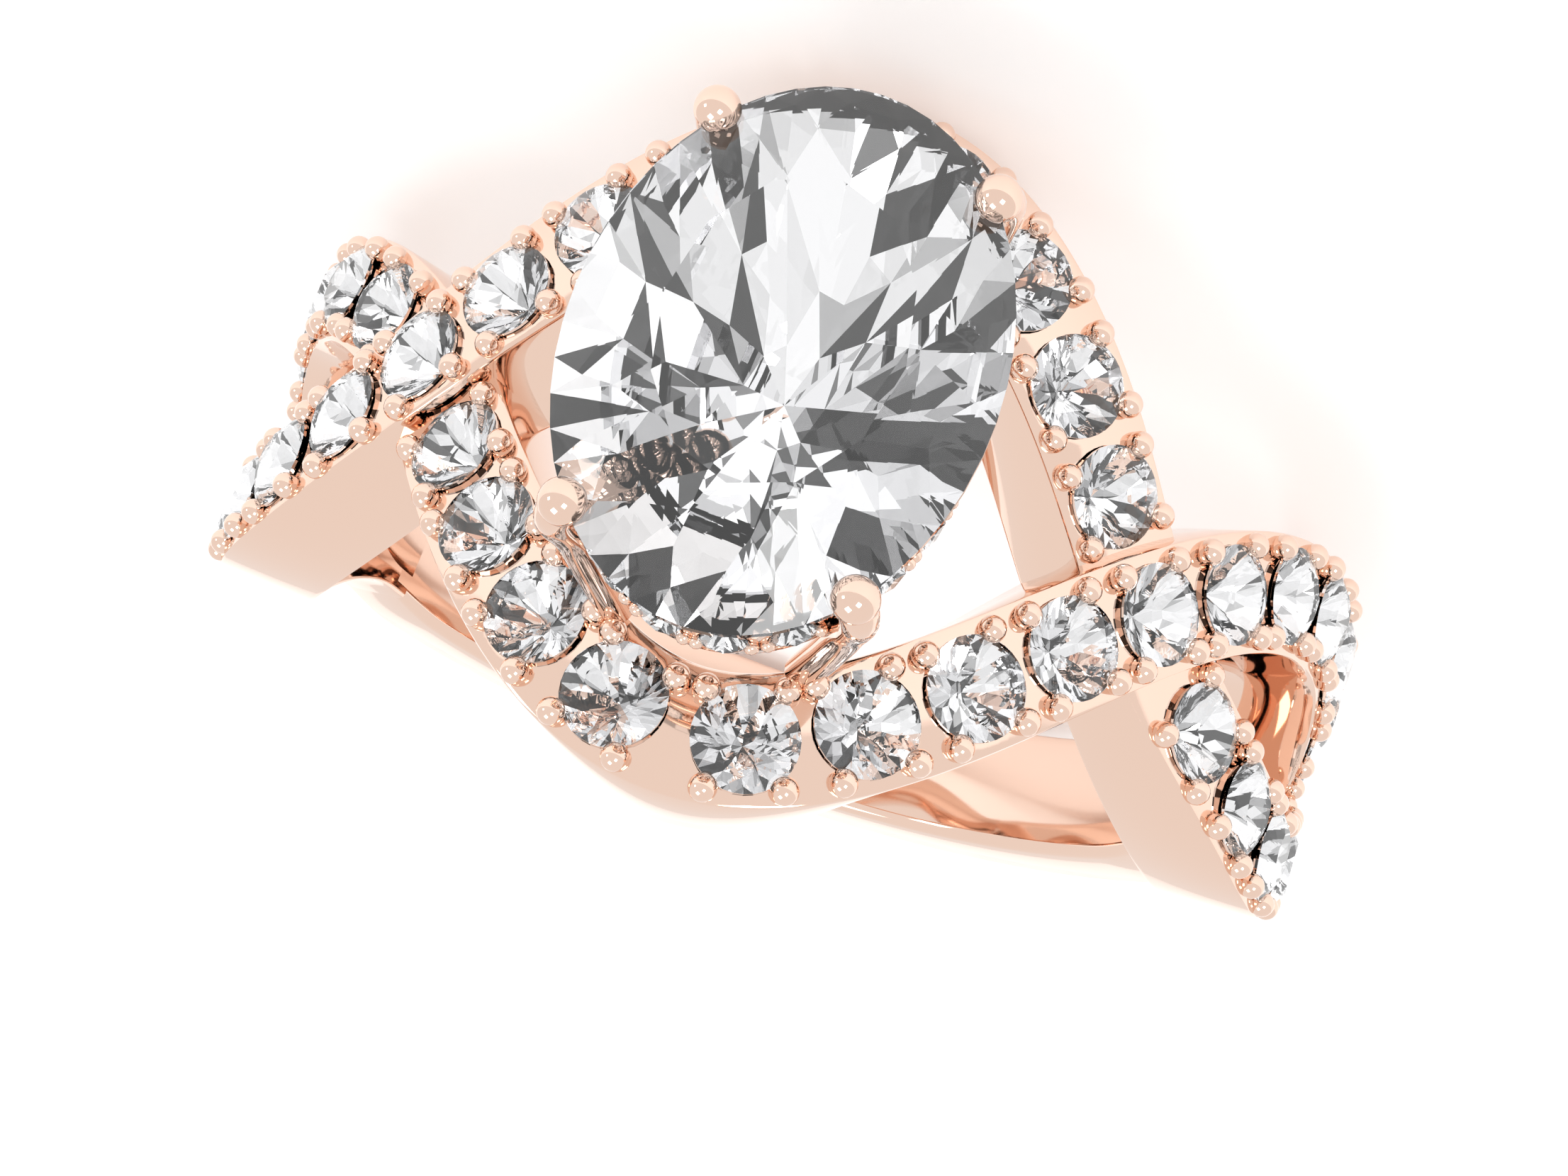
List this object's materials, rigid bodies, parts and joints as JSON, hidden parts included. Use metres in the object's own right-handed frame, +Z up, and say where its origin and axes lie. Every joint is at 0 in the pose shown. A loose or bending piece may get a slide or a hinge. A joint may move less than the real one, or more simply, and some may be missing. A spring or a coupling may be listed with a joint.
{
  "type": "twisted shank ring",
  "caption": "Rose gold ring with two crossing stone-set strands and an oval stone in a four-prong head.",
  "frame": {"origin": "on the surface it lies on, below the middle of its box", "axes": "+Z up from the surface the ring lies on, +Y towards the head, X across the ring"},
  "size_m": [0.0214, 0.0256, 0.0122],
  "materials": {
    "rose_gold": "polished",
    "clear_stone": "polished"
  },
  "bodies": {
    "root": {"ring_metal": "rose_gold", "beads_a": "rose_gold", "beads_b": "rose_gold", "oval_stone": "clear_stone", "gallery_stones": "clear_stone", "stone_a01": "clear_stone", "stone_a02": "clear_stone", "stone_a03": "clear_stone", "stone_a04": "clear_stone", "stone_a05": "clear_stone", "stone_a06": "clear_stone", "stone_a07": "clear_stone", "stone_a08": "clear_stone", "stone_a09": "clear_stone", "stone_a10": "clear_stone", "stone_a11": "clear_stone", "stone_a12": "clear_stone", "stone_a13": "clear_stone", "stone_a14": "clear_stone", "stone_a15": "clear_stone", "stone_a16": "clear_stone", "stone_a17": "clear_stone", "stone_a18": "clear_stone", "stone_a19": "clear_stone", "stone_a20": "clear_stone", "stone_b01": "clear_stone", "stone_b02": "clear_stone", "stone_b03": "clear_stone", "stone_b04": "clear_stone", "stone_b05": "clear_stone", "stone_b06": "clear_stone", "stone_b07": "clear_stone", "stone_b08": "clear_stone", "stone_b09": "clear_stone", "stone_b10": "clear_stone", "stone_b11": "clear_stone", "stone_b12": "clear_stone", "stone_b13": "clear_stone", "stone_b14": "clear_stone", "stone_b15": "clear_stone", "stone_b16": "clear_stone", "stone_b17": "clear_stone", "stone_b18": "clear_stone", "stone_b19": "clear_stone", "stone_b20": "clear_stone"}
  },
  "joints": []
}
